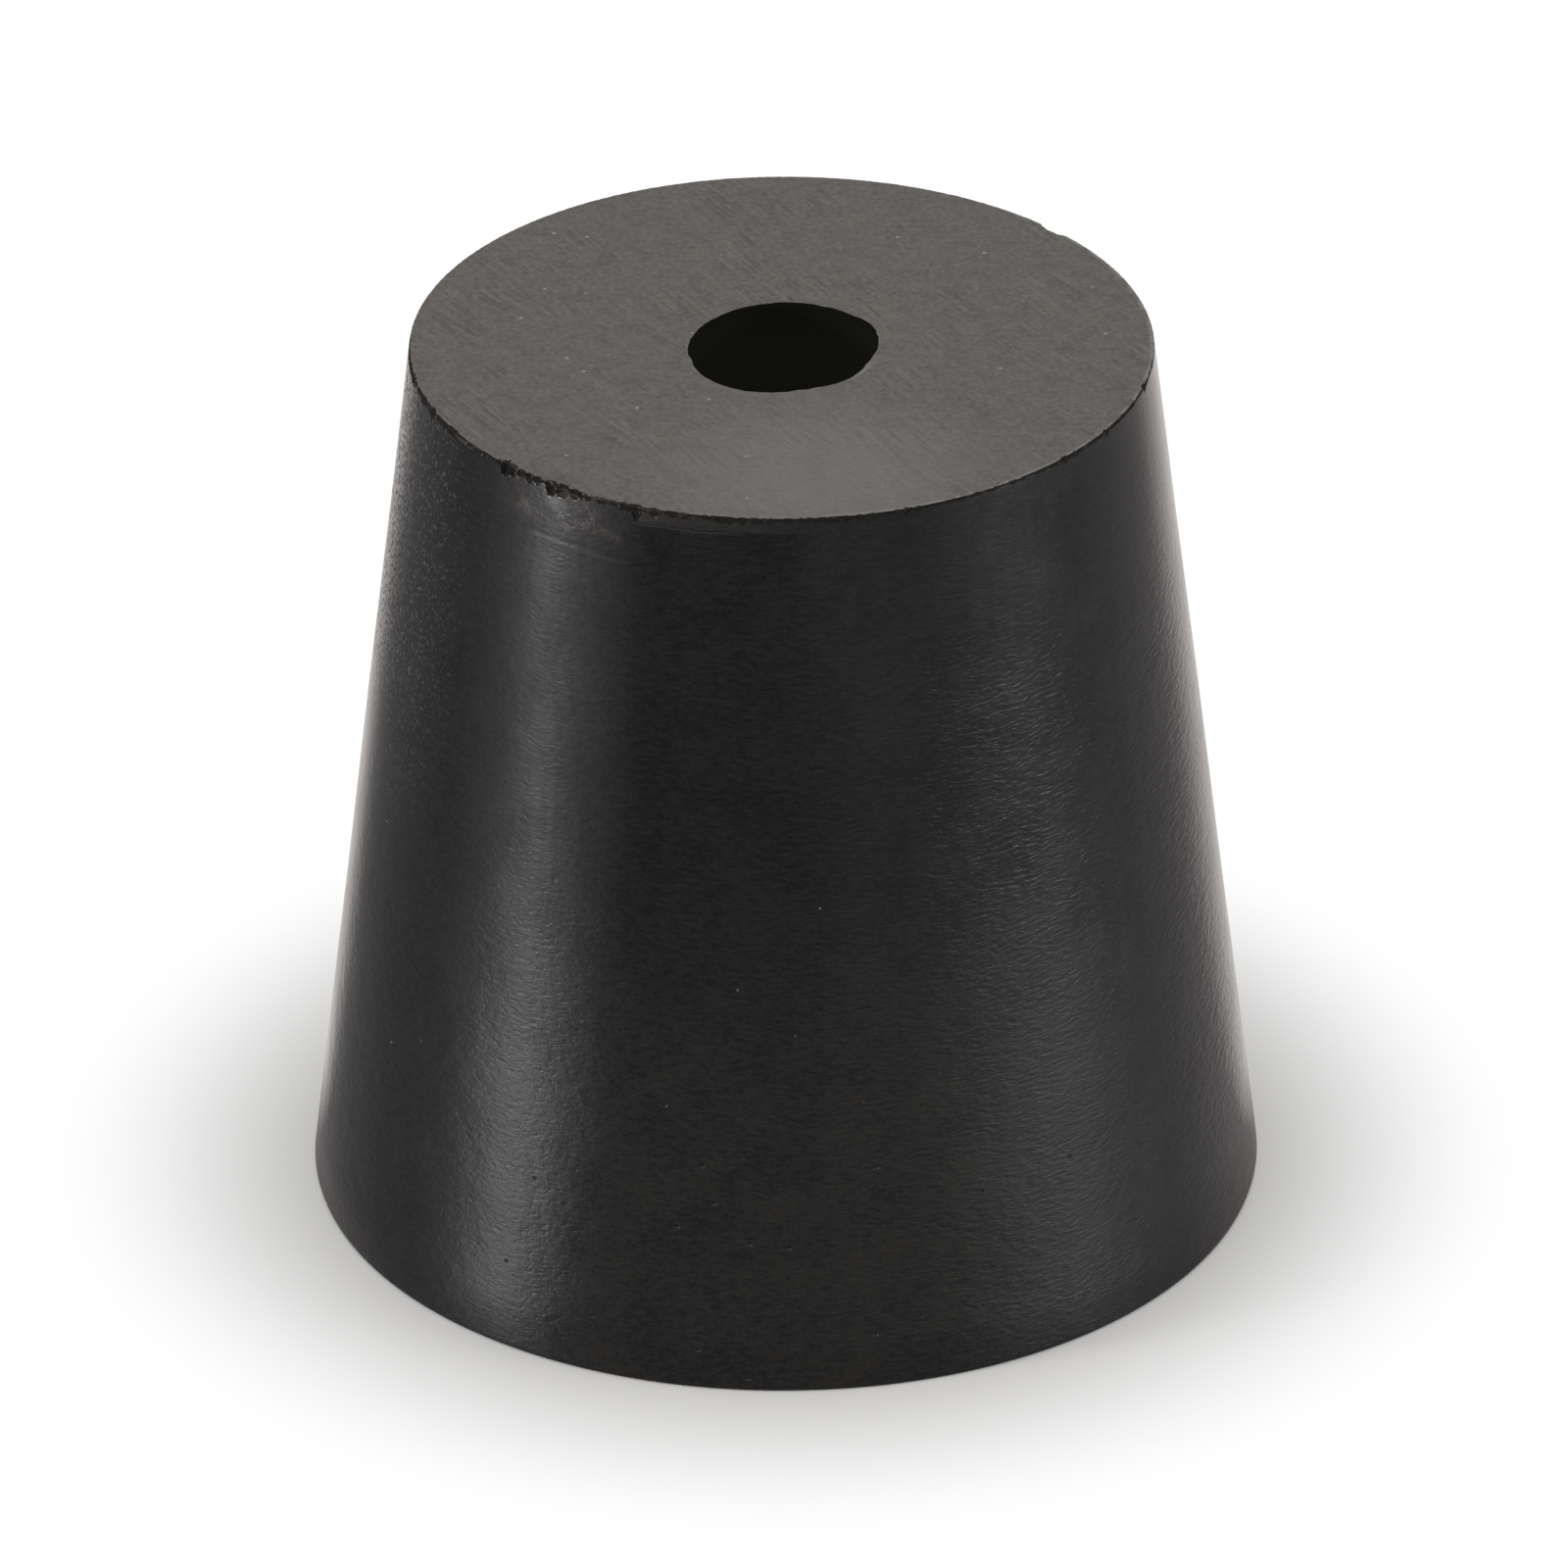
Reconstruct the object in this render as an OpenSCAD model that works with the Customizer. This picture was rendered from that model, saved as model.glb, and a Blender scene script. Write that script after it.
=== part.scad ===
// Tapered laboratory stopper of moulded rubber, size 4, with one hole for a glass tube.
// It stands on its large end: the origin is the centre of that face, and +Z points to the small end.

/* [Body] */
// Diameter of the large end, at the trimmed parting line
large_d = 26; // [24:0.5:45]
// Diameter of the small end
small_d = 20; // [14:0.5:23]
// Length from the large face to the small face
length = 25; // [15:1:50]

/* [Hole] */
// Diameter of the hole along the axis
hole_d = 5; // [2:0.5:9]
// Rounding of the hole's two lips
lip_round = 0.12; // [0.05:0.01:0.5]

/* [Edges] */
// Height of the narrow band left where the moulding flash was cut off
trim_h = 0.2; // [0.2:0.05:1]
// How far the cut leans in from the parting line to the large face
trim_in = 0.04; // [0:0.01:0.2]
// Rounding where the cut meets the large face
foot_round = 0.08; // [0.02:0.01:0.12]
// Rounding of the sanded rim at the small end
rim_round = 0.1; // [0.05:0.01:0.5]

/* [Hidden] */
large_r = large_d / 2;
small_r = small_d / 2;
hole_r = hole_d / 2;
arc_steps = 4;
$fn = 180;

// A vector of length one that points the way v does
function unit(v) = v / norm(v);

// An angle brought into the half turn either side of zero
function half_turn(a) = a > 180 ? a - 360 : a < -180 ? a + 360 : a;

// The corner b, between its neighbours a and c, rounded by an arc of radius r that touches both sides
function rounded(a, b, c, r) =
    let (
        to_a = unit(a - b),
        to_c = unit(c - b),
        half = acos(to_a * to_c) / 2,
        centre = b + unit(to_a + to_c) * r / sin(half),
        first = b + to_a * r / tan(half) - centre,
        last = b + to_c * r / tan(half) - centre,
        start = atan2(first.y, first.x),
        sweep = half_turn(atan2(last.y, last.x) - start)
    )
    [
        for (i = [0:arc_steps])
            let (angle = start + sweep * i / arc_steps)
            centre + r * [cos(angle), sin(angle)]
    ];

// Half of the lengthwise section, as [radius, height]: the hole's wall is its inner side
function section() =
    let (
        large_lip = [hole_r, 0],
        foot = [large_r - trim_in, 0],
        parting_line = [large_r, trim_h],
        rim = [small_r, length],
        small_lip = [hole_r, length]
    )
    concat(
        rounded(small_lip, large_lip, foot, lip_round),
        rounded(large_lip, foot, parting_line, foot_round),
        [parting_line],
        rounded(parting_line, rim, small_lip, rim_round),
        rounded(rim, small_lip, large_lip, lip_round)
    );

// The whole stopper, one moulding: its section turned about the hole's axis
module stopper() {
    color([0.20, 0.19, 0.18])
        rotate_extrude()
            polygon(section());
}

stopper();
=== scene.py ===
from math import atan2, cos, hypot, pi, radians, sin

import bpy
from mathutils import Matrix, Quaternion, Vector, noise


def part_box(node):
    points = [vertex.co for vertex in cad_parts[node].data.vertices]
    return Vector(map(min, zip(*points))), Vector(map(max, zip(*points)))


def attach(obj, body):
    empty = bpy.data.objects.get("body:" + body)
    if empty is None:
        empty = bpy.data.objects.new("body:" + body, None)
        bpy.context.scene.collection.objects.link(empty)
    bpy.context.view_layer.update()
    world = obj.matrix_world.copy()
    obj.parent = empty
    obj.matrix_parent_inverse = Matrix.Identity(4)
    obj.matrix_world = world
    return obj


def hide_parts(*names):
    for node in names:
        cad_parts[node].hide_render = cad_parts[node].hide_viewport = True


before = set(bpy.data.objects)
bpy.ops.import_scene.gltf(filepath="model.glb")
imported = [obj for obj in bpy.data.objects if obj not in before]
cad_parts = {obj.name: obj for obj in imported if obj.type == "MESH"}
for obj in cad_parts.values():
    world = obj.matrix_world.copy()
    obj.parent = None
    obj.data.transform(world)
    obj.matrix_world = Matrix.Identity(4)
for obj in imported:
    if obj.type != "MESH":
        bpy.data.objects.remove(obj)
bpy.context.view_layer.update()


# ---------------------------------------------------------------------------------------------------
# The camera stands well back with a long lens and looks down on the stopper, as one looks at it on a
# bench. It leans by a fraction of a degree.
top_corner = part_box("stopper")[1]
LENGTH = top_corner.z
LARGE_R = top_corner.x
LENS_LENGTH = 351
CAMERA_DISTANCE = 0.4168
CAMERA_RISE = radians(28.96)
CAMERA_LEAN = radians(-0.314)
NEAREST_SEEN = 0.05
FURTHEST_SEEN = 20
AIM = Vector((0, 0, 0.46 * LENGTH))

long_lens = bpy.data.cameras.new("camera")
long_lens.lens = LENS_LENGTH
long_lens.clip_start = NEAREST_SEEN
long_lens.clip_end = FURTHEST_SEEN
camera = bpy.data.objects.new("camera", long_lens)
bpy.context.scene.collection.objects.link(camera)
toward_camera = Vector((0, -cos(CAMERA_RISE), sin(CAMERA_RISE)))
camera.location = AIM + toward_camera * CAMERA_DISTANCE
camera.rotation_mode = "QUATERNION"
looking = (-toward_camera).to_track_quat("-Z", "Y")
camera.rotation_quaternion = looking @ Quaternion((0, 0, 1), CAMERA_LEAN)
bpy.context.scene.camera = camera
bpy.context.scene.view_settings.view_transform = "Standard"


# ---------------------------------------------------------------------------------------------------
# The stopper is one moulding of black rubber: a taper with a straight hole along its axis. The flash
# round its large end is cut off by hand, the size digit is pressed into that end by the mould, and
# both ends are sanded flat, which tears small bites out of the rim of the small end.
MM = 0.001
SMALL_R = 10 * MM
HOLE_R = 2.5 * MM
TRIM_HEIGHT = 0.2 * MM
TRIM_LEAN = 0.04 * MM
FOOT_ROUND = 0.08 * MM
LIP_ROUND = 0.12 * MM
ROUNDING_STEPS = 3
BORE_RINGS = 7
SIDE_LEAN = (LARGE_R - SMALL_R) / (LENGTH - TRIM_HEIGHT)
HAIR = 0.001 * MM

# The mesh is finest where the rim is torn: its rings stand closest there, and its sides crowd there.
RIM_STEP = 0.03 * MM
SIDES_ROUND = 960
TORN_SIDE = radians(-125)
CROWDING = 0.45


def graded(far, first, growth, longest):
    """Distances from nothing to far, in steps that start at first and grow up to longest."""
    marks = [0]
    step = first
    while marks[-1] + 1.5 * step < far:
        marks.append(marks[-1] + step)
        step = min(step * growth, longest)
    return marks + [far]


def moulding_section():
    """Radius and height of each ring: along the large face, up the side and in over the small face."""
    outward = graded(LARGE_R - TRIM_LEAN - HOLE_R, first=0.3 * MM, growth=2, longest=3 * MM)
    large_face = [(HOLE_R + d, 0) for d in outward]
    down = graded(LENGTH - TRIM_HEIGHT, first=RIM_STEP, growth=1.08, longest=MM)
    side = [(SMALL_R + SIDE_LEAN * d, LENGTH - d) for d in reversed(down)]
    inward = graded(SMALL_R - HOLE_R, first=RIM_STEP, growth=1.5, longest=2 * MM)
    small_face = [(SMALL_R - d, LENGTH) for d in inward[1:]]
    return large_face + side + small_face


def turned_ring_by_ring(name, section):
    """An open turned shape: a circle at the first radius and height, extruded through the others."""
    bpy.ops.object.select_all(action="DESELECT")
    radius, height = section[0]
    bpy.ops.mesh.primitive_circle_add(vertices=SIDES_ROUND, radius=radius, location=(0, 0, 0))
    piece = bpy.context.object
    piece.name = name
    for vertex in piece.data.vertices:
        turn = atan2(vertex.co.y, vertex.co.x) - TORN_SIDE
        turn = TORN_SIDE + turn - CROWDING * sin(turn)
        vertex.co = (radius * cos(turn), radius * sin(turn), height)
    bpy.ops.object.mode_set(mode="EDIT")
    bpy.ops.mesh.select_all(action="SELECT")
    for next_radius, next_height in section[1:]:
        rise = (0, 0, next_height - height)
        bpy.ops.mesh.extrude_edges_move(TRANSFORM_OT_translate={"value": rise})
        grow = next_radius / radius
        bpy.ops.transform.resize(value=(grow, grow, 1), center_override=(0, 0, next_height))
        radius, height = next_radius, next_height
    return piece


def select_ring(piece, radius, height):
    """Selects the ring of vertices at this radius and height, and nothing else."""
    bpy.ops.mesh.select_all(action="DESELECT")
    bpy.ops.object.mode_set(mode="OBJECT")
    for vertex in piece.data.vertices:
        on_radius = abs(hypot(vertex.co.x, vertex.co.y) - radius) < HAIR
        vertex.select = on_radius and abs(vertex.co.z - height) < HAIR
    bpy.ops.object.mode_set(mode="EDIT")
    bpy.ops.mesh.select_mode(type="VERT")


def closed_moulding():
    """The turned shape with its bore closed and the bore's lips and the foot rounded over."""
    piece = turned_ring_by_ring("moulded_stopper", moulding_section())
    bpy.ops.mesh.select_all(action="DESELECT")
    bpy.ops.mesh.select_non_manifold()
    bpy.ops.mesh.bridge_edge_loops(number_cuts=BORE_RINGS)
    rounded_corners = (
        (HOLE_R, 0, LIP_ROUND),
        (HOLE_R, LENGTH, LIP_ROUND),
        (LARGE_R - TRIM_LEAN, 0, FOOT_ROUND),
    )
    for radius, height, rounding in rounded_corners:
        select_ring(piece, radius, height)
        bpy.ops.mesh.bevel(offset=rounding, segments=ROUNDING_STEPS, affect="EDGES")
    bpy.ops.mesh.select_all(action="SELECT")
    bpy.ops.mesh.remove_doubles(threshold=HAIR)
    bpy.ops.mesh.normals_make_consistent(inside=False)
    bpy.ops.object.mode_set(mode="OBJECT")
    return piece


# The digit 4 lies across the radius, with its bar pointing out to the rim, and comes out mirrored. Its
# bar, stem and slant are half-round grooves, each given by its two ends and half its width.
DIGIT_STROKES = (
    ((9.07, -0.49), (5.22, -0.04), 0.20),
    ((6.56, 1.33), (6.22, -2.82), 0.23),
    ((8.78, -0.62), (6.84, -2.33), 0.20),
)


def cut_groove(piece, start, end, half_width):
    """Cuts one round-ended groove into the large face with a ball that is drawn out to the stroke."""
    bpy.ops.object.select_all(action="DESELECT")
    middle = (start + end) / 2
    bpy.ops.mesh.primitive_uv_sphere_add(segments=16, ring_count=9, radius=half_width, location=middle)
    cutter = bpy.context.object
    bpy.ops.object.transform_apply(location=True, rotation=False, scale=False)
    along = (end - start).normalized()
    turn = Vector((0, 0, 1)).rotation_difference(along)
    reach = (end - start) / 2 - along * half_width
    for vertex in cutter.data.vertices:
        offset = turn @ (vertex.co - middle)
        vertex.co = middle + offset + (reach if offset.dot(along) > 0 else -reach)
    groove = piece.modifiers.new("groove", "BOOLEAN")
    groove.operation = "DIFFERENCE"
    groove.solver = "EXACT"
    groove.object = cutter
    bpy.ops.object.select_all(action="DESELECT")
    bpy.context.view_layer.objects.active = piece
    bpy.ops.object.modifier_apply(modifier="groove")
    bpy.data.objects.remove(cutter)


def press_in_digit(piece):
    """Cuts the digit's strokes, then merges the slivers that their crossings leave."""
    for start, end, half_width in DIGIT_STROKES:
        cut_groove(piece, Vector((*start, 0)) * MM, Vector((*end, 0)) * MM, half_width * MM)
    bpy.ops.object.mode_set(mode="EDIT")
    bpy.ops.mesh.select_all(action="SELECT")
    bpy.ops.mesh.remove_doubles(threshold=HAIR)
    bpy.ops.mesh.dissolve_degenerate(threshold=HAIR)
    bpy.ops.object.mode_set(mode="OBJECT")


# Bites that the sanding tore out of the small end's rim, each as its place round the axis in degrees,
# its width along the rim, how far it reaches over the face and down the side, and its hollow.
RIM_BITES = (
    (-136.7, 0.66, 0.12, 0.18, 0.10),
    (-133.6, 0.24, 0.05, 0.10, 0.04),
    (-131.9, 0.22, 0.07, 0.14, 0.05),
    (-130.3, 0.26, 0.05, 0.10, 0.04),
    (-127.6, 0.36, 0.08, 0.20, 0.07),
    (-125.6, 0.40, 0.10, 0.16, 0.08),
    (-123.2, 0.22, 0.05, 0.12, 0.03),
    (-121.9, 0.14, 0.04, 0.08, 0.02),
    (-114.7, 0.26, 0.04, 0.12, 0.04),
    (-112.9, 0.40, 0.05, 0.22, 0.06),
    (-109.6, 0.16, 0.03, 0.08, 0.02),
    (-97.8, 0.14, 0.03, 0.06, 0.02),
    (-70.8, 0.22, 0.05, 0.08, 0.02),
    (-41.6, 0.26, 0.04, 0.07, 0.02),
    (-38.9, 0.18, 0.04, 0.08, 0.02),
    (-30.6, 0.18, 0.04, 0.06, 0.02),
    (-14.7, 0.24, 0.06, 0.09, 0.03),
    (42.0, 0.95, 0.10, 0.14, 0.03),
)
# Besides the bites the rim is frayed in four stretches. Each is given by its place and its reach to
# both sides, in degrees, and by how far it goes over the face and down the side.
FRAYED = (
    (-160, 26, 0.050, 0.14),
    (-126, 14, 0.012, 0.06),
    (-92, 36, 0.004, 0.085),
    (-30, 30, 0.018, 0.02),
)
FRAYED_HOLLOW = 0.008
# Elsewhere the sanding just rounds the rim over. Its hollow is below nothing, as it bulges.
SANDED_RIM = (0.012, 0.045, -0.006)
SANDED_WAVER = (0.010, 0.015)

# The torn edge is ragged in coarse and fine lumps, with a crumb over them. Their sizes across are in
# millimetres, and their shares say how far they move the edge. Hollows go partly inward, partly down.
COARSE_LUMP = 0.9
FINE_LUMP = 0.14
COARSE_SHARE = 0.8
FINE_SHARE_OVER_FACE = 0.5
FINE_SHARE_DOWN_SIDE = 1.4
CRUMB = 0.09
CRUMB_HEIGHT = 0.010
FULLEST_BITE = 1.15
HOLLOW_INWARD = 0.6
HOLLOW_DOWN = 0.8
TEARS_END = 1.2 * MM


def bearing_gap(turn, degrees_round):
    """The angle from a place round the axis, given in degrees, to this one."""
    return abs((turn - radians(degrees_round) + radians(540)) % radians(360) - radians(180))


def rim_tear(turn):
    """How far the rim is torn at this place: over the face, down the side, and how hollow."""
    spot = Vector((SMALL_R * cos(turn), SMALL_R * sin(turn), 0)) / MM
    coarse = noise.noise(spot / COARSE_LUMP)
    fine = noise.noise(spot / FINE_LUMP + Vector((0, 0, 7)))
    over_face, down_side, hollow = SANDED_RIM
    over_face += SANDED_WAVER[0] * fine
    down_side += SANDED_WAVER[1] * fine
    for place, reach, up, down in FRAYED:
        share = max(0, 1 - bearing_gap(turn, place) / radians(reach)) ** 0.5
        over_face += up * share * (1 + COARSE_SHARE * coarse + FINE_SHARE_OVER_FACE * fine)
        down_side += down * share * (1 + COARSE_SHARE * coarse + FINE_SHARE_DOWN_SIDE * fine)
        hollow += FRAYED_HOLLOW * share
    for place, width, up, down, depth in RIM_BITES:
        nearness = 1 - (bearing_gap(turn, place) * SMALL_R / MM / (width / 2)) ** 2
        if nearness > 0:
            share = min(FULLEST_BITE, nearness ** 0.5 * (1 + FINE_SHARE_OVER_FACE * fine))
            over_face += up * share
            down_side += down * share
            hollow += depth * share
    return over_face * MM, down_side * MM, hollow * MM


def tear_rim(piece):
    """Moves the vertices round the small end's rim onto the torn edge, and marks how torn each is."""
    torn = piece.data.attributes.new("torn", "FLOAT", "POINT")
    for vertex in piece.data.vertices:
        place = vertex.co
        radius = hypot(place.x, place.y)
        if place.z < LENGTH - TEARS_END or radius < SMALL_R - TEARS_END:
            continue
        over_face, down_side, hollow = rim_tear(atan2(place.y, place.x))
        on_face = LENGTH - place.z < HAIR
        along = radius - SMALL_R if on_face else LENGTH - place.z
        share = (along + over_face) / (over_face + down_side)
        if not 0 < share < 1:
            continue
        torn.data[vertex.index].value = 1
        grain = noise.noise(place / MM / CRUMB) * CRUMB_HEIGHT * MM
        sink = 4 * share * (1 - share) * (hollow + grain)
        inner = SMALL_R - over_face
        outer = SMALL_R + SIDE_LEAN * down_side
        new_radius = inner + (outer - inner) * share - sink * HOLLOW_INWARD
        new_height = LENGTH - down_side * share - sink * HOLLOW_DOWN
        vertex.co = (place.x * new_radius / radius, place.y * new_radius / radius, new_height)


# Where the bore's upper lip is out of round: the place in degrees, how far that reaches round the
# axis to each side, and by how much it stands in or out, in millimetres.
LIP_FAULTS = (
    (-114, 46, 0.31),
    (-54, 26, 0.16),
    (0, 12, 0.05),
    (25, 20, 0.12),
    (52, 9, 0.04),
    (70, 45, -0.07),
    (140, 52, -0.18),
)
LIP_FAULT_DEPTH = 1.5 * MM
LIP_ZONE = 0.3 * MM
# Size across and height of each unevenness, in millimetres: of the lips, the side and the parting line.
LIP_LUMPS = ((1.1, 0.03), (0.25, 0.022))
SIDE_LUMPS = ((6, 0.016),)
PARTING_LUMPS = ((0.7, 0.05),)
SIDE_STARTS = 2 * MM
SIDE_ENDS = 3 * MM
TORN_ZONE = 0.6 * MM


def lip_fault(turn):
    """By how much the bore's upper lip stands in or out at this place, in millimetres."""
    fault = 0
    for place, reach, amount in LIP_FAULTS:
        nearness = 1 - (bearing_gap(turn, place) / radians(reach)) ** 2
        fault += amount * max(0, nearness)
    return fault


def uneven(place, lumps):
    """How far the surface stands out at this place, in millimetres."""
    return sum(noise.noise(place / MM / across) * height for across, height in lumps)


def weather(piece):
    """The small unevenness of a hand-finished moulding: a wavering side, lips and parting line."""
    for vertex in piece.data.vertices:
        place = vertex.co.copy()
        radius = hypot(place.x, place.y)
        outward = Vector((place.x, place.y, 0)) / radius
        if radius < HOLE_R + LIP_ZONE:
            near_lip = max(0, 1 - min(place.z, LENGTH - place.z) / LIP_FAULT_DEPTH)
            wander = uneven(place, LIP_LUMPS)
            if place.z > LENGTH / 2:
                wander += lip_fault(atan2(place.y, place.x))
            vertex.co += outward * wander * near_lip * MM
        elif radius > SMALL_R and place.z < LENGTH - TORN_ZONE:
            from_ends = min(1, (place.z - TRIM_HEIGHT) / SIDE_STARTS, (LENGTH - place.z) / SIDE_ENDS)
            vertex.co += outward * uneven(place, SIDE_LUMPS) * max(0, from_ends) * MM
        if abs(place.z - TRIM_HEIGHT) < HAIR:
            vertex.co.z += uneven(place, PARTING_LUMPS) * MM


SMOOTH_UP_TO = radians(32)
stopper = closed_moulding()
press_in_digit(stopper)
tear_rim(stopper)
bpy.ops.object.select_all(action="DESELECT")
stopper.select_set(True)
bpy.context.view_layer.objects.active = stopper
bpy.ops.object.shade_smooth_by_angle(angle=SMOOTH_UP_TO)


class Value:
    """A shader socket that takes part in sums: each operator adds the Math node that works it out."""

    def __init__(self, finish, socket):
        self.finish = finish
        self.socket = socket

    def __getitem__(self, output):
        return Value(self.finish, self.socket.node.outputs[output])

    def math(self, operation, *inputs):
        return self.finish.add("ShaderNodeMath", dict(enumerate(inputs)), operation=operation)

    def __add__(self, other):
        return self.math("ADD", self, other)

    def __sub__(self, other):
        return self.math("SUBTRACT", self, other)

    def __rsub__(self, other):
        return self.math("SUBTRACT", other, self)

    def __mul__(self, other):
        return self.math("MULTIPLY", self, other)

    def __truediv__(self, other):
        return self.math("DIVIDE", self, other)

    def __pow__(self, other):
        return self.math("POWER", self, other)

    def __abs__(self):
        return self.math("ABSOLUTE", self)

    def both(self, other):
        return self.math("MINIMUM", self, other)

    def either(self, other):
        return self.math("MAXIMUM", self, other)

    __radd__ = __add__
    __rmul__ = __mul__


class Finish:
    """A material by its name. Each of its other methods adds its nodes by way of add."""

    def __init__(self, name):
        self.material = bpy.data.materials.new(name)
        self.material.use_nodes = True
        self.tree = self.material.node_tree
        self.tree.nodes.clear()

    def add(self, kind, sockets=None, **settings):
        node = self.tree.nodes.new(kind)
        for name, setting in settings.items():
            setattr(node, name, setting)
        for name, given in (sockets or {}).items():
            if isinstance(given, Value):
                self.tree.links.new(given.socket, node.inputs[name])
            else:
                node.inputs[name].default_value = given
        return Value(self, node.outputs[0]) if len(node.outputs) else None

    def rise(self, value, low, high):
        """0 below low, 1 above high, and a smooth rise between. Low may be the higher of the two."""
        sockets = {"Value": value, "From Min": low, "From Max": high}
        return self.add("ShaderNodeMapRange", sockets, interpolation_type="SMOOTHSTEP")

    def within(self, value, low, high, soft):
        """1 between low and high, 0 outside, and a smooth change that is soft wide at both."""
        return self.rise(value, low - soft, low + soft) * self.rise(value, high + soft, high - soft)

    def grain(self, where, scale, detail=2.0, roughness=0.5):
        """Noise from about 0 to 1 whose lumps are 1 / scale across."""
        sockets = {"Vector": where, "Scale": scale, "Detail": detail, "Roughness": roughness}
        return self.add("ShaderNodeTexNoise", sockets)

    def scattered(self, where, scale):
        """How far the nearest of many scattered points is."""
        return self.add("ShaderNodeTexVoronoi", {"Vector": where, "Scale": scale}, feature="F1")

    def distance(self, where, centre):
        """How far a place is from a centre."""
        return self.add("ShaderNodeVectorMath", {0: where, 1: centre}, operation="DISTANCE")["Value"]

    def combed(self, where, line_length, line_width, turn=0.0):
        """The place in a frame in which a grain comes out as lines that are turned about the axis."""
        turned = self.add("ShaderNodeMapping", {"Vector": where, "Rotation": (0, 0, turn)})
        scale = (1 / line_length, 1 / line_width, 1 / line_length)
        return self.add("ShaderNodeMapping", {"Vector": turned, "Scale": scale})

    def mixed(self, share, first, second):
        """The first colour where share is 0, the second where it is 1."""
        first = (*first, 1) if isinstance(first, tuple) else first
        second = (*second, 1) if isinstance(second, tuple) else second
        sockets = {0: share, 6: first, 7: second}
        return self.add("ShaderNodeMix", sockets, data_type="RGBA")[2]

    def dressed(self, colour, roughness, specular, height, drawn=0.0):
        """Closes the material with one shader. Height is in millimetres."""
        bump = self.add("ShaderNodeBump", {"Height": height, "Strength": 1, "Distance": MM})
        sockets = {
            "Base Color": colour,
            "Roughness": roughness,
            "Specular IOR Level": specular,
            "Normal": bump,
            "Anisotropic": drawn,
            "Anisotropic Rotation": 0.25,
        }
        rubber = self.add("ShaderNodeBsdfPrincipled", sockets)
        self.add("ShaderNodeOutputMaterial", {"Surface": rubber})
        return self.material


def in_millimetres(finish):
    """The place on the stopper in millimetres."""
    where = finish.add("ShaderNodeTexCoord")["Object"]
    return finish.add("ShaderNodeVectorMath", {0: where, "Scale": 1 / MM}, operation="SCALE")


def in_axes(finish, where):
    """The place taken apart, so that its X, Y and Z can be asked for by name."""
    return finish.add("ShaderNodeSeparateXYZ", {"Vector": where})


def bearing_of(finish, where):
    """The place's bearing round the axis in degrees: 0 at the right, -90 at the front."""
    axes = in_axes(finish, where)
    return axes["X"].math("ARCTAN2", axes["Y"], axes["X"]) * (180 / pi)


def radius_of(finish, where):
    """The place's distance from the axis."""
    axes = in_axes(finish, where)
    return (axes["X"] * axes["X"] + axes["Y"] * axes["Y"]) ** 0.5


def depth_of(finish, where):
    """How far the place lies below the small face."""
    return LENGTH / MM - in_axes(finish, where)["Z"]


def drawn_out(finish, where, round_scale, up_scale, sway=0.0):
    """The place in a frame in which a grain comes out long round the axis and short up it."""
    axes = in_axes(finish, where)
    parts = {
        "X": axes["X"] * round_scale,
        "Y": axes["Y"] * round_scale,
        "Z": (axes["Z"] + sway) * up_scale,
    }
    return finish.add("ShaderNodeCombineXYZ", parts)


def moved_off(finish, where):
    """The same place in another stretch of the pattern."""
    return finish.add("ShaderNodeVectorMath", {0: where, 1: (37, 11, 5)}, operation="ADD")


# The skin is a satin black that the mould leaves, brownish low down at the front. Its height differs
# by hundredths of a millimetre. Bearings are in degrees and depths in millimetres.
RIPPLE_HEIGHT = 0.010
PEBBLE_HEIGHT = 0.010
WAVE_HEIGHT = 0.012
DENT_DEPTH = 0.0042
PINHOLE_DEPTH = 0.05
SOOT_BLACK = (0.0004, 0.0004, 0.0006)
GREY_BLACK = (0.0056, 0.0055, 0.0061)
BROWN_BLACK = (0.0082, 0.0072, 0.0050)
PAINTED_GLINT = (0.075, 0.068, 0.062)
SCUFF_GREY = (0.019, 0.0175, 0.016)
BAND_DARK = (0.003, 0.003, 0.0028)
BAND_PALE = (0.020, 0.018, 0.016)
PAINTED_CREASE_SHINE = (0.026, 0.024, 0.022)
PAINTED_SHADE_BLACK = (0.0010, 0.0010, 0.0010)
DUST_GREY = (0.13, 0.12, 0.11)
SKIN_GLOSS = 0.42
SKIN_ROUGHNESS = 0.20
SKIN_DRAWN = 0.85
# The worn band, its stepped lower edge, the scuffs and the crease: where they lie and how deep.
BAND_DEPTH = 0.43
BAND_STARTS = (-113.8, -112.8)
BAND_FADES = (-76.0, -106.0)
STEP_FADES = (-93.0, -104.0)
STEP_DROP = 0.015
SCUFFED_BEARINGS = (-137.0, -113.0)
SCUFFED_DEPTHS = (0.12, 1.25)
SCUFF_HEIGHT = 0.006
CREASE_BEARINGS = (-132.0, -114.0)
CREASE_START = 133.0
CREASE_DEPTH = 1.50
CREASE_SLANT = 0.003
CREASE_DROP = 0.003
CREASE_LIP = 0.002


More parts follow.
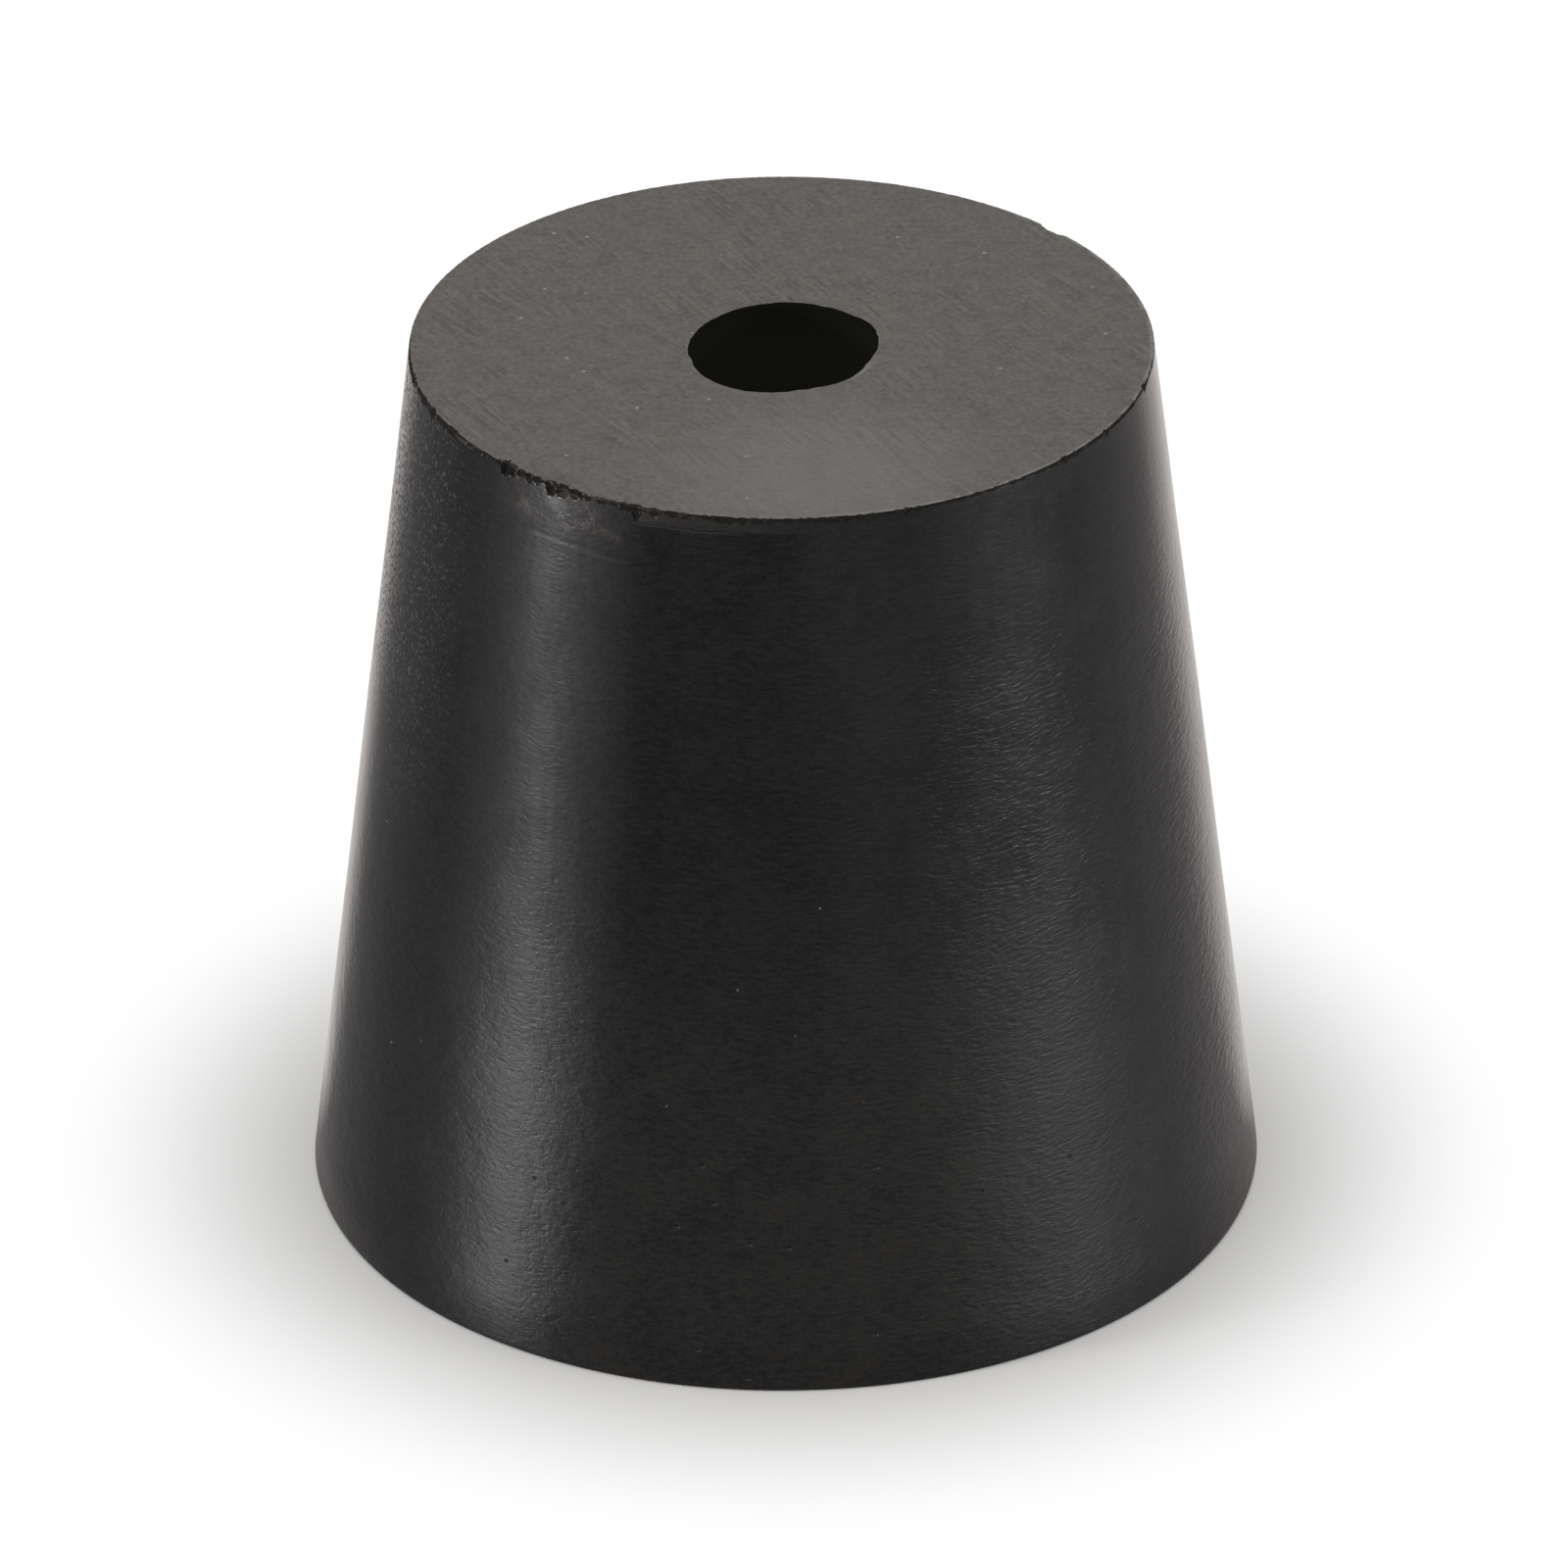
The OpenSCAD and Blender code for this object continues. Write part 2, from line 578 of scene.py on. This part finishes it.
def moulded_skin():
    """The satin black skin that the mould leaves: turned ripples, and a pebbled grain low down."""
    finish = Finish("moulded_skin")
    where = in_millimetres(finish)
    bearing = bearing_of(finish, where)
    depth = depth_of(finish, where)
    from_front = abs(bearing + 90)
    low_down = finish.rise(depth, 8.0, 19.0)
    to_the_right = finish.rise(bearing, -92.0, -66.0) * finish.rise(depth, 2.0, 7.0)
    grainy = finish.rise(bearing, -140.0, -158.0) * finish.rise(depth, 14.0, 6.0)
    polished = finish.rise(from_front, 54.0, 66.0)

    # Ripples run round the side, with pebbles, waves and dents over them.
    sway = finish.grain(where, 1.1, detail=1) * 0.35
    ripples = finish.grain(drawn_out(finish, where, 3.0, 11.0, sway), 1.0, detail=2)
    pebbles = finish.grain(where, 8.0, detail=3, roughness=0.6)
    waves = finish.grain(where, 1.3, detail=2)
    streaks = finish.grain(drawn_out(finish, where, 3.5, 0.12), 1.0, detail=2)
    blotches = finish.grain(where, 0.6, detail=4)
    rippled = 0.75 + to_the_right * 1.4 + low_down * 0.3 - grainy * 0.55
    pebbled = 0.25 + low_down * 0.35 + grainy * 0.8
    height = ripples * rippled * RIPPLE_HEIGHT
    height = height + pebbles * pebbled * PEBBLE_HEIGHT
    height = height + waves * (0.3 + low_down) * WAVE_HEIGHT
    crumpled = finish.grain(drawn_out(finish, where, 5.0, 9.0, sway), 1.0, detail=3)
    dented = finish.rise(depth, 5.0, 15.0)
    dents = finish.rise(crumpled, 0.50, 0.70) * dented * finish.within(bearing, -136.0, -116.0, 12.0)
    height = height - dents * DENT_DEPTH
    # At the grainy left edge the speckle gives matt specks in the roughness, and pale specks in the
    # colour, which are painted glints.
    speckle = finish.grain(where, 9.0, detail=2, roughness=0.6)
    matt_specks = finish.rise(speckle, 0.54, 0.40) * grainy
    painted_glints = finish.rise(speckle, 0.56, 0.68) * grainy

    # A few pinholes low down, and specks of dust.
    pinhole = finish.rise(finish.scattered(where, 0.9), 0.075, 0.035) * finish.rise(depth, 15.0, 20.0)
    dust = finish.rise(finish.scattered(moved_off(finish, where), 0.55), 0.028, 0.014)
    height = height - pinhole * PINHOLE_DEPTH

    # The sanding belt has worn a dull band just below the torn rim. Its lower edge is a fine step.
    band_foot = BAND_DEPTH + (finish.grain(where, 3.0, detail=3) - 0.5) * 0.14
    band_start = finish.rise(bearing, *BAND_STARTS)
    in_band = finish.rise(depth, band_foot + 0.05, band_foot - 0.05)
    in_band = in_band * band_start * finish.rise(bearing, *BAND_FADES)
    step = finish.within(depth, band_foot - 0.01, band_foot + 0.05, 0.03)
    step = step * band_start * finish.rise(bearing, *STEP_FADES)

    # Left of it the rubber is scuffed in patches, and a shallow crease slants down below them.
    scuffs = finish.rise(finish.grain(where, 1.8, detail=5, roughness=0.7), 0.30, 0.75)
    scuffed = scuffs * finish.within(bearing, *SCUFFED_BEARINGS, 3.0)
    scuffed = scuffed * finish.within(depth, *SCUFFED_DEPTHS, 0.25)
    crease_path = CREASE_DEPTH + (bearing + CREASE_START) * CREASE_SLANT + (waves - 0.5) * 0.10
    off_crease = depth - crease_path
    along_crease = finish.within(bearing, *CREASE_BEARINGS, 2.0)
    crease = finish.within(off_crease, -0.10, 0.0, 0.05) * along_crease
    crease_lip = finish.within(off_crease, 0.06, 0.14, 0.05) * along_crease
    height = height - step * STEP_DROP - crease * CREASE_DROP + crease_lip * CREASE_LIP
    height = height + scuffed * pebbles * SCUFF_HEIGHT

    tone = (ripples - 0.5) * 2.6 + (pebbles - 0.5) * 2.2 + (blotches - 0.5) * 1.2 + 0.5
    colour = finish.mixed(tone, SOOT_BLACK, GREY_BLACK)
    browned = low_down * finish.rise(from_front, 40.0, 18.0)
    colour = finish.mixed(browned * tone * 0.8, colour, BROWN_BLACK)
    colour = finish.mixed(painted_glints * 0.8, colour, PAINTED_GLINT)
    colour = finish.mixed(scuffed * 0.7, colour, SCUFF_GREY)
    band_tone = finish.grain(drawn_out(finish, where, 2.5, 9.0), 1.0, detail=3)
    worn = finish.mixed((band_tone - 0.5) * 2.0 + 0.5, BAND_DARK, BAND_PALE)
    colour = finish.mixed(in_band * 0.9, colour, worn)
    # The crease's lower lip is painted paler, as a painted highlight.
    colour = finish.mixed(crease_lip * 0.5, colour, PAINTED_CREASE_SHINE)
    # The band's step, the crease and the pinholes are painted near black, as painted shade in what is
    # sunk.
    sunk = (step * 0.9).either(crease * 0.7).either(pinhole)
    colour = finish.mixed(sunk, colour, PAINTED_SHADE_BLACK)
    colour = finish.mixed(dust * 0.8, colour, DUST_GREY)

    roughness = SKIN_ROUGHNESS + low_down * 0.13 - polished * (0.03 + low_down * 0.13)
    roughness = roughness + (blotches - 0.5) * 0.10 + (streaks - 0.5) * 0.06
    roughness = roughness.either(in_band * 0.6).either(scuffed * 0.36).either(matt_specks * 0.5)
    return finish.dressed(colour, roughness, SKIN_GLOSS, height, drawn=SKIN_DRAWN)


# Both ends are sanded to a dull warm grey. The belt leaves close lines one way, and fewer across them.
SANDED_ROUGHNESS = 0.62
SANDED_GLOSS = 0.16
SMALL_FACE_LINES = radians(118)
LARGE_FACE_LINES = radians(4)
CROSSING = 0.14
SMALL_FACE_TONES = ((0.080, 0.0720, 0.0650), (0.141, 0.1285, 0.1175))
LARGE_FACE_TONES = ((0.082, 0.075, 0.069), (0.138, 0.128, 0.118))
SCORED_GREY = (0.050, 0.046, 0.042)
FLECK_GREY = (0.30, 0.29, 0.28)
PAINTED_LIGHT_GREY = (0.185, 0.175, 0.163)
PAINTED_EDGE_HIGHLIGHT = (0.21, 0.20, 0.185)
PAINTED_LIGHT_SPOT = (1.0, -7.6, LENGTH / MM)
RIM_EDGE = (SMALL_R / MM - 0.14, SMALL_R / MM - 0.07)
LIP_EDGE = (HOLE_R / MM + 0.30, HOLE_R / MM + 0.20)
FOOT_EDGE = (LARGE_R / MM - 0.20, LARGE_R / MM - 0.10)


def dull_grain(finish, where, lines_turn):
    """The tone and height of a sanded face: close lines one way, with a fine crumb over them."""
    elsewhere = moved_off(finish, where)
    lines = finish.grain(finish.combed(where, 1.7, 0.09, -lines_turn), 1.0, detail=2)
    crossing = finish.grain(finish.combed(elsewhere, 1.6, 0.11, -lines_turn - CROSSING), 1.0, detail=2)
    combed = finish.rise(finish.grain(where, 0.45, detail=2), 0.50, 0.70)
    combed_across = finish.rise(finish.grain(elsewhere, 0.45, detail=2), 0.50, 0.70)
    crumbs = finish.grain(where, 6.0, detail=2, roughness=0.6)
    clouds = finish.grain(where, 1.6, detail=3)
    combing = (lines - 0.5) * (0.25 + combed * 2.4) + (crossing - 0.5) * combed_across * 2.4
    tone = combing + (crumbs - 0.5) * 1.9 + (clouds - 0.5) * 0.9 + 0.5
    return tone, combing * 0.004 + crumbs * 0.006


def sanded_face():
    """The small end, sanded flat: a dull warm grey with fine lines and a few deeper scratches."""
    finish = Finish("sanded_face")
    where = in_millimetres(finish)
    bearing = bearing_of(finish, where)
    radius = radius_of(finish, where)
    tone, height = dull_grain(finish, where, SMALL_FACE_LINES)
    deep_lines = finish.grain(finish.combed(where, 1.3, 0.08, -SMALL_FACE_LINES), 1.0, detail=1)
    patches = finish.grain(where, 0.4, detail=2)
    scored = finish.rise(deep_lines, 0.64, 0.76) * finish.rise(patches, 0.46, 0.62)
    flecks = finish.rise(finish.scattered(where, 1.0), 0.075, 0.035)
    pores = finish.rise(finish.scattered(moved_off(finish, where), 0.9), 0.06, 0.03)
    colour = finish.mixed(tone, *SMALL_FACE_TONES)
    colour = finish.mixed((scored * 0.55).either(pores * 0.5), colour, SCORED_GREY)
    colour = finish.mixed(flecks * 0.8, colour, FLECK_GREY)

    # The front of the face is painted a little paler, as painted light. Thin painted highlights lie
    # along the rim at the front and right and along the hole's lip at the front.
    painted_front_light = finish.rise(finish.distance(where, PAINTED_LIGHT_SPOT), 6.0, 1.0) * 0.45
    colour = finish.mixed(painted_front_light, colour, PAINTED_LIGHT_GREY)
    edge = finish.rise(radius, *RIM_EDGE) * finish.within(bearing, -104.0, 50.0, 12.0)
    lip = finish.rise(radius, *LIP_EDGE) * finish.within(bearing, -150.0, -25.0, 14.0)
    broken = finish.rise(finish.grain(where, 2.5, detail=2), 0.38, 0.55)
    colour = finish.mixed(edge.either(lip) * broken * 0.7, colour, PAINTED_EDGE_HIGHLIGHT)
    return finish.dressed(colour, SANDED_ROUGHNESS, SANDED_GLOSS, height - scored * 0.005)


# The pins that push the stopper out of the mould leave three round marks in the large face, each as
# its centre, its radius and how dark and rough it is. Two small cuts lie near the edge.
PIN_MARKS = (
    ((0.33, 5.78, 0.0), 2.4, 0.25),
    ((-0.78, -4.2, 0.0), 2.4, 0.25),
    ((3.67, 0.33, 0.0), 1.9, 0.8),
)
LARGE_FACE_CUTS = ((0.84, -12.03, 0.0), (-1.18, -12.08, 0.0))
PIN_DARK = (0.035, 0.032, 0.029)
CUT_DARK = (0.040, 0.037, 0.034)
PAINTED_FOOT_HIGHLIGHT = (0.19, 0.18, 0.165)


def pinned_face():
    """The large end: the same dull grey, with the marks of the mould's pins and cross scratches."""
    finish = Finish("pinned_face")
    where = in_millimetres(finish)
    tone, height = dull_grain(finish, where, LARGE_FACE_LINES)
    colour = finish.mixed(tone, *LARGE_FACE_TONES)
    mottle = finish.grain(where, 2.2, detail=4, roughness=0.6)
    for centre, radius, dark in PIN_MARKS:
        off = finish.distance(where, centre)
        ring = finish.within(off, radius - 0.08, radius + 0.04, 0.06)
        inside = finish.rise(off, radius + 0.05, radius - 0.15)
        rough = inside * finish.rise(mottle, 0.62, 0.42) * dark
        colour = finish.mixed(rough.either(ring * 0.45), colour, PIN_DARK)
        height = height - ring * 0.02 - inside * 0.03 - rough * mottle * 0.03
    scratches = finish.grain(finish.combed(where, 3.0, 0.08), 1.0, detail=1)
    left_half = finish.rise(in_axes(finish, where)["X"], 0.5, -2.5)
    scored = finish.rise(scratches, 0.60, 0.74) * left_half
    for centre in LARGE_FACE_CUTS:
        scored = scored.either(finish.rise(finish.distance(where, centre), 0.26, 0.12))
    colour = finish.mixed(scored * 0.6, colour, CUT_DARK)
    # The large face's outer edge is painted paler all round, as a painted highlight on its rolled edge.
    edge = finish.rise(radius_of(finish, where), *FOOT_EDGE)
    colour = finish.mixed(edge * 0.5, colour, PAINTED_FOOT_HIGHLIGHT)
    return finish.dressed(colour, SANDED_ROUGHNESS, SANDED_GLOSS, height - scored * 0.02)


RAW_BLACKS = ((0.004, 0.0037, 0.0035), (0.020, 0.0185, 0.017))
STRIP_GREY = (0.036, 0.033, 0.030)
CRUMB_GREY = (0.085, 0.078, 0.070)


def torn_rubber():
    """The raw rubber in the bites: black and uneven, with a few pale crumbs that still cling to it."""
    finish = Finish("torn_rubber")
    where = in_millimetres(finish)
    lumps = finish.grain(where, 11, detail=3)
    ragged_side = finish.within(bearing_of(finish, where), -160.0, -108.0, 4.0)
    crumbs = finish.rise(finish.grain(where, 8, detail=2), 0.62, 0.70) * (0.35 + ragged_side * 0.65)
    strips = finish.rise(finish.grain(drawn_out(finish, where, 0.9, 13.0), 1.0, detail=2), 0.55, 0.66)
    colour = finish.mixed(lumps, *RAW_BLACKS)
    colour = finish.mixed(strips * ragged_side, colour, STRIP_GREY)
    colour = finish.mixed(crumbs, colour, CRUMB_GREY)
    return finish.dressed(colour, 0.7, 0.03, lumps * 0.012)


BORE_TONES = ((0.0055, 0.0055, 0.0050), (0.0370, 0.0365, 0.0320))


def bore_skin():
    """The wall of the hole, left by the mould's core pin: black, and painted paler further in from both
    mouths, as painted light against the shade deep in the hole.
    """
    finish = Finish("bore_skin")
    where = in_millimetres(finish)
    up = in_axes(finish, where)["Z"]
    from_mouth = up.both(depth_of(finish, where))
    drawn = finish.grain(drawn_out(finish, where, 3.0, 0.8), 1.0)
    # Paler further in is painted light that makes up for the shade inside the bore.
    colour = finish.mixed(from_mouth * 0.33, *BORE_TONES)
    return finish.dressed(colour, 0.6, 0.0, drawn * 0.01)


SKIN, SANDED, PINNED, TORN, BORE = range(5)
FLAT = 0.8
SUNK = 0.012 * MM
OFF_FOOT = 0.05 * MM
OFF_LIP = 0.2 * MM


def finish_of(face, tornness):
    """Which finish a face of the mesh takes. One that is torn in part is raw only where it is sunk."""
    radius = hypot(face.center.x, face.center.y)
    torn_corners = sum(tornness[corner].value > 0.5 for corner in face.vertices)
    sunk = face.center.z < LENGTH - SUNK
    if torn_corners == len(face.vertices) or torn_corners and sunk:
        return TORN
    if abs(face.normal.z) > FLAT and radius < LARGE_R - OFF_FOOT:
        return SANDED if face.center.z > LENGTH / 2 else PINNED
    return BORE if radius < HOLE_R + OFF_LIP else SKIN


for material in (moulded_skin(), sanded_face(), pinned_face(), torn_rubber(), bore_skin()):
    stopper.data.materials.append(material)
tornness = stopper.data.attributes["torn"].data
for face in stopper.data.polygons:
    face.material_index = finish_of(face, tornness)
weather(stopper)
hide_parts("stopper")
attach(stopper, "root")


# ---------------------------------------------------------------------------------------------------
# The floor is a sheet of pale paper, which keeps the stopper's soft shadow and burns out to white
# further away. In the gloss of the skin it glows with painted light: brightest behind the stopper and
# in a painted pool of light at its left, and in painted shade in front, which gives the side its bright
# edges.
FLOOR_SIZE = 4
SHADOW_ENDS = (0.95 * LARGE_R, 1.6 * LARGE_R)
GLOSS_SHADOW_ENDS = (LARGE_R, 1.15 * LARGE_R)
PAPER_SEEN = (0.78, 0.77, 0.76)
PAPER_IN_PAINTED_SHADE = (0.44, 0.415, 0.40)
DIM_PAPER = (0.27, 0.260, 0.262)
BRIGHT_PAPER = (1.0, 0.945, 0.905)
BURNT_OUT = (1.0, 1.0, 1.0)
TO_POOL = (0.008, 0.010)
POOL_RIGHT_EDGE = (-0.009, -0.012)
POOL_BACK_EDGE = (-0.40, 0.30)
POOL_FRONT_EDGE = (1.4, 0.4)
POOL_SHARE = 0.85
RIGHT_SHARE = 0.24


def painted_gloss_light(paper, spot):
    """The painted light that the paper glows with in a gloss: behind the stopper, in a painted pool at
    its left and at the right, with painted shade elsewhere.
    """
    axes = in_axes(paper, spot)
    beside = (abs(axes["X"]) - LARGE_R) / axes["Y"]
    at_right = paper.rise(axes["X"], 0.0, 0.020)
    behind = paper.rise(beside, at_right * 0.7 + 0.70, 0.15) * paper.rise(axes["Y"], 0.0, 0.002)
    slope = (axes["Y"] + TO_POOL[1]) / (axes["X"] + TO_POOL[0])
    pool = paper.rise(axes["X"], *POOL_RIGHT_EDGE)
    pool = pool * paper.rise(slope, *POOL_BACK_EDGE) * paper.rise(slope, *POOL_FRONT_EDGE)
    share = behind.either(pool * POOL_SHARE).either(at_right * RIGHT_SHARE)
    return paper.mixed(share, DIM_PAPER, BRIGHT_PAPER)


def pale_paper():
    """White light where the paper burns out, and a dull sheet that takes the shadow elsewhere."""
    paper = Finish("paper")
    spot = paper.add("ShaderNodeTexCoord")["Object"]
    from_stopper = paper.add("ShaderNodeVectorMath", {0: spot}, operation="LENGTH")["Value"]
    seen = paper.add("ShaderNodeLightPath")
    by_camera = seen["Is Camera Ray"]
    in_gloss = seen.math("MAXIMUM", seen["Is Glossy Ray"], seen["Is Transmission Ray"])
    burnt_out = paper.rise(from_stopper, *SHADOW_ENDS) * by_camera
    burnt_out = burnt_out + paper.rise(from_stopper, *GLOSS_SHADOW_ENDS) * in_gloss
    # For all but the camera's rays the sheet takes a darker copy of its colour, as painted shade.
    shade = paper.mixed(by_camera, PAPER_IN_PAINTED_SHADE, PAPER_SEEN)
    sheet = paper.add("ShaderNodeBsdfDiffuse", {"Color": shade})
    glow = paper.mixed(by_camera, painted_gloss_light(paper, spot), BURNT_OUT)
    white = paper.add("ShaderNodeEmission", {"Color": glow, "Strength": 1})
    mix = paper.add("ShaderNodeMixShader", {0: burnt_out, 1: sheet, 2: white})
    paper.add("ShaderNodeOutputMaterial", {"Surface": mix})
    return paper.material


bpy.ops.object.select_all(action="DESELECT")
bpy.ops.mesh.primitive_plane_add(size=FLOOR_SIZE, location=(0, 0, 0))
floor = bpy.context.object
floor.name = "floor"
floor.data.materials.append(pale_paper())


# ---------------------------------------------------------------------------------------------------
# The light is a white tent round the bench, with two weak lamps a little to the front: a narrow one at
# the left and a broad one at the right. Each is a stack of oval screens of growing width, so that its
# shine on the skin fades off to both sides.
TENT_STRENGTH = 0.87
tent = bpy.data.worlds.new("tent")
bpy.context.scene.world = tent
tent.use_nodes = True
tent.node_tree.nodes["Background"].inputs["Color"].default_value = (1, 1, 1, 1)
tent.node_tree.nodes["Background"].inputs["Strength"].default_value = TENT_STRENGTH


def screen(name, bearing, distance, height, width, tall, watts):
    """An oval lamp at a bearing round the stopper, turned to face its axis."""
    lamp = bpy.data.lights.new(name, "AREA")
    lamp.shape = "ELLIPSE"
    lamp.size = width
    lamp.size_y = tall
    lamp.energy = watts
    holder = bpy.data.objects.new(name, lamp)
    bpy.context.scene.collection.objects.link(holder)
    turn = radians(bearing)
    holder.location = (distance * cos(turn), distance * sin(turn), height)
    facing = Vector((-cos(turn), -sin(turn), 0))
    holder.rotation_mode = "QUATERNION"
    holder.rotation_quaternion = facing.to_track_quat("-Z", "Y")


# The width and the watts of each screen.
LEFT_SCREENS = ((0.05, 0.20), (0.10, 0.24), (0.17, 0.14))
RIGHT_SCREENS = ((0.12, 0.16), (0.24, 0.22), (0.42, 0.26))
for width, watts in LEFT_SCREENS:
    name = f"left_{width * 100:.0f}"
    screen(name, bearing=-158, distance=0.30, height=0.050, width=width, tall=0.07, watts=watts)
for width, watts in RIGHT_SCREENS:
    name = f"right_{width * 100:.0f}"
    screen(name, bearing=-20, distance=0.36, height=0.060, width=width, tall=0.10, watts=watts)
